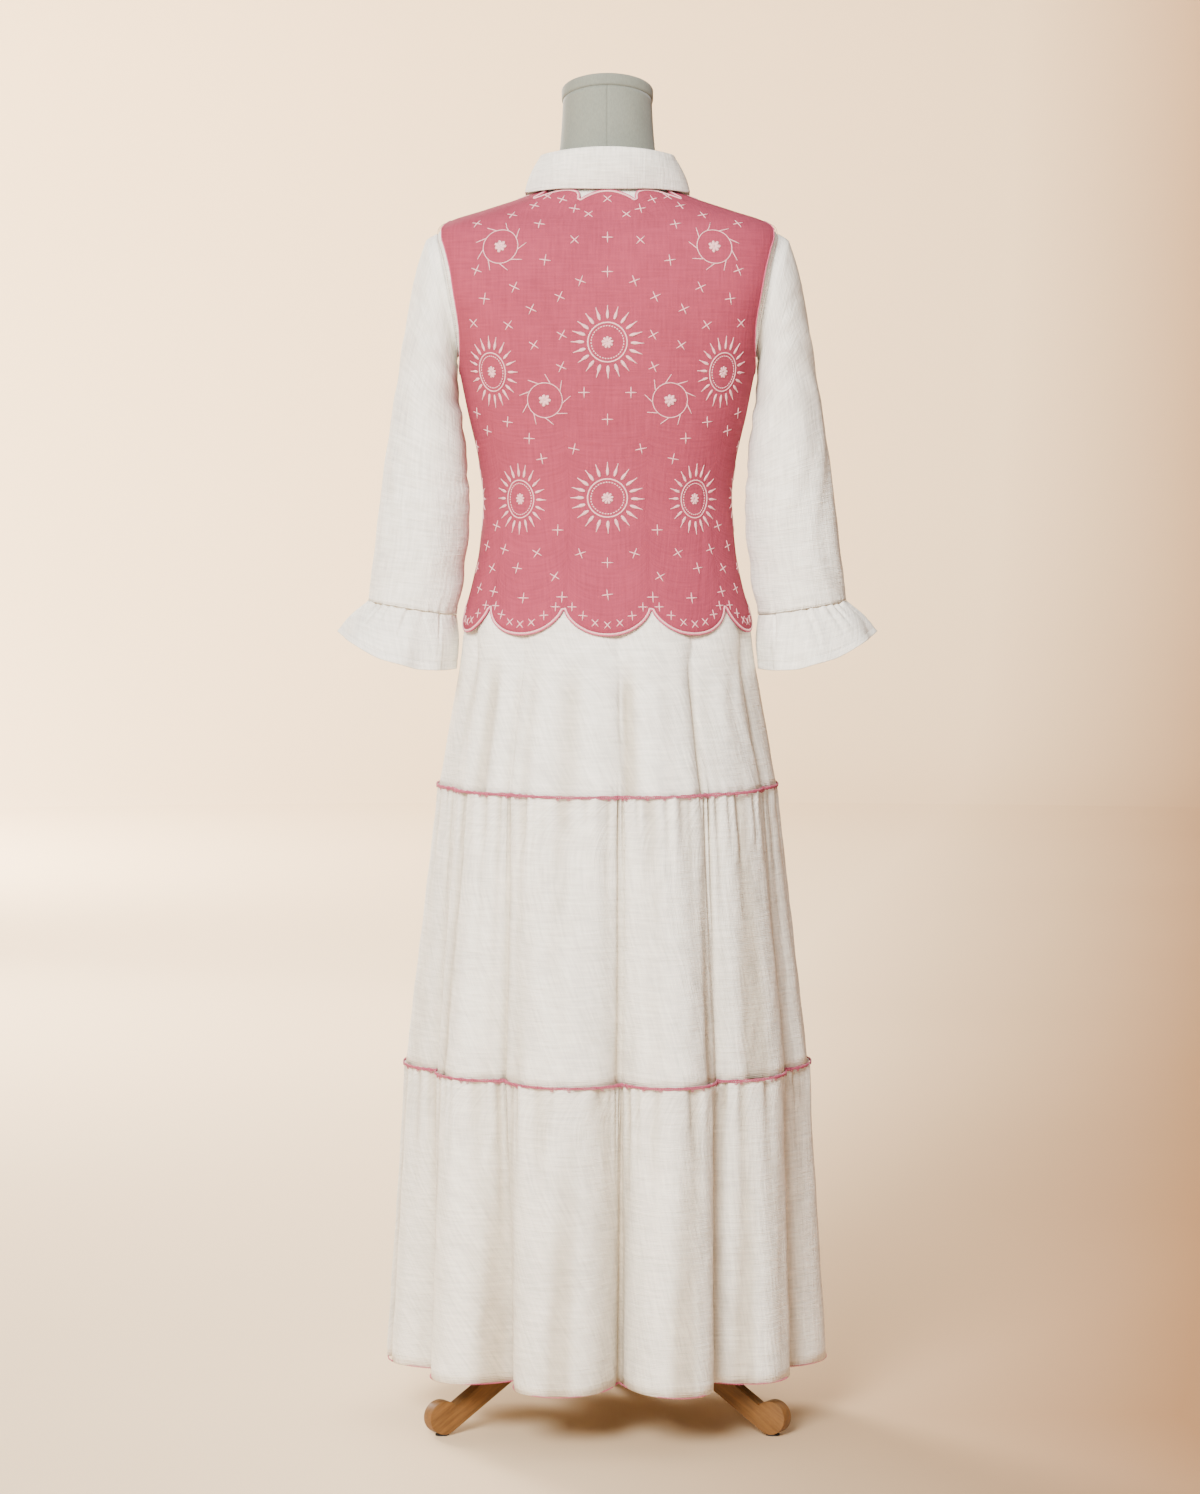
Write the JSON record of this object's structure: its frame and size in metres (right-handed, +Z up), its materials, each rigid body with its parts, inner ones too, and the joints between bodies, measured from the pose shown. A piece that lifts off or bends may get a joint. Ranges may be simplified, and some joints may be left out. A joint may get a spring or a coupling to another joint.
{
  "type": "tiered dress with an embroidered vest on a dress form",
  "caption": "Maxi dress with gathered tiers, shirt collar and ruffled sleeves under a scalloped embroidered vest, worn by a limbless dress form on a wooden tripod stand.",
  "frame": {"origin": "on the floor, at the centre of the stand's pole", "axes": "+Z up; the back of the dress faces -Y and its front faces +Y; the wearer's right side is at +X"},
  "size_m": [0.668, 0.5132, 1.6591],
  "materials": {
    "slub_cotton": "matt slubby plain weave",
    "rose_twill": "matt fine weave",
    "rose_braid": "matt thread",
    "plain_button": "satin",
    "grey_form_linen": "matt linen cover",
    "stained_beech": "satin varnish",
    "black_rubber": "matt"
  },
  "bodies": {
    "root": {"bodice_back": "slub_cotton", "bodice_front_left": "slub_cotton", "bodice_front_right": "slub_cotton", "front_placket": "slub_cotton", "collar_stand": "slub_cotton", "collar_fall": "slub_cotton", "sleeve_left": "slub_cotton", "sleeve_right": "slub_cotton", "ruffle_left": "slub_cotton", "ruffle_right": "slub_cotton", "tier_1_back": "slub_cotton", "tier_1_front": "slub_cotton", "tier_2_back": "slub_cotton", "tier_2_front": "slub_cotton", "tier_3_back": "slub_cotton", "tier_3_front": "slub_cotton", "vest_back": "rose_twill", "vest_front_left": "rose_twill", "vest_front_right": "rose_twill", "vest_front_band": "rose_twill", "braid_upper": "rose_braid", "braid_lower": "rose_braid", "vest_button_1": "plain_button", "vest_button_2": "plain_button", "vest_button_3": "plain_button", "vest_button_4": "plain_button", "vest_button_5": "plain_button", "vest_button_6": "plain_button", "shirt_button_1": "plain_button", "shirt_button_2": "plain_button", "form_torso": "grey_form_linen", "form_neck_cap": "grey_form_linen", "stand_pole": "stained_beech", "stand_hub": "stained_beech", "stand_leg_left": "stained_beech", "stand_leg_right": "stained_beech", "stand_leg_front": "stained_beech", "foot_pad_left": "black_rubber", "foot_pad_right": "black_rubber", "foot_pad_front": "black_rubber"}
  },
  "joints": []
}
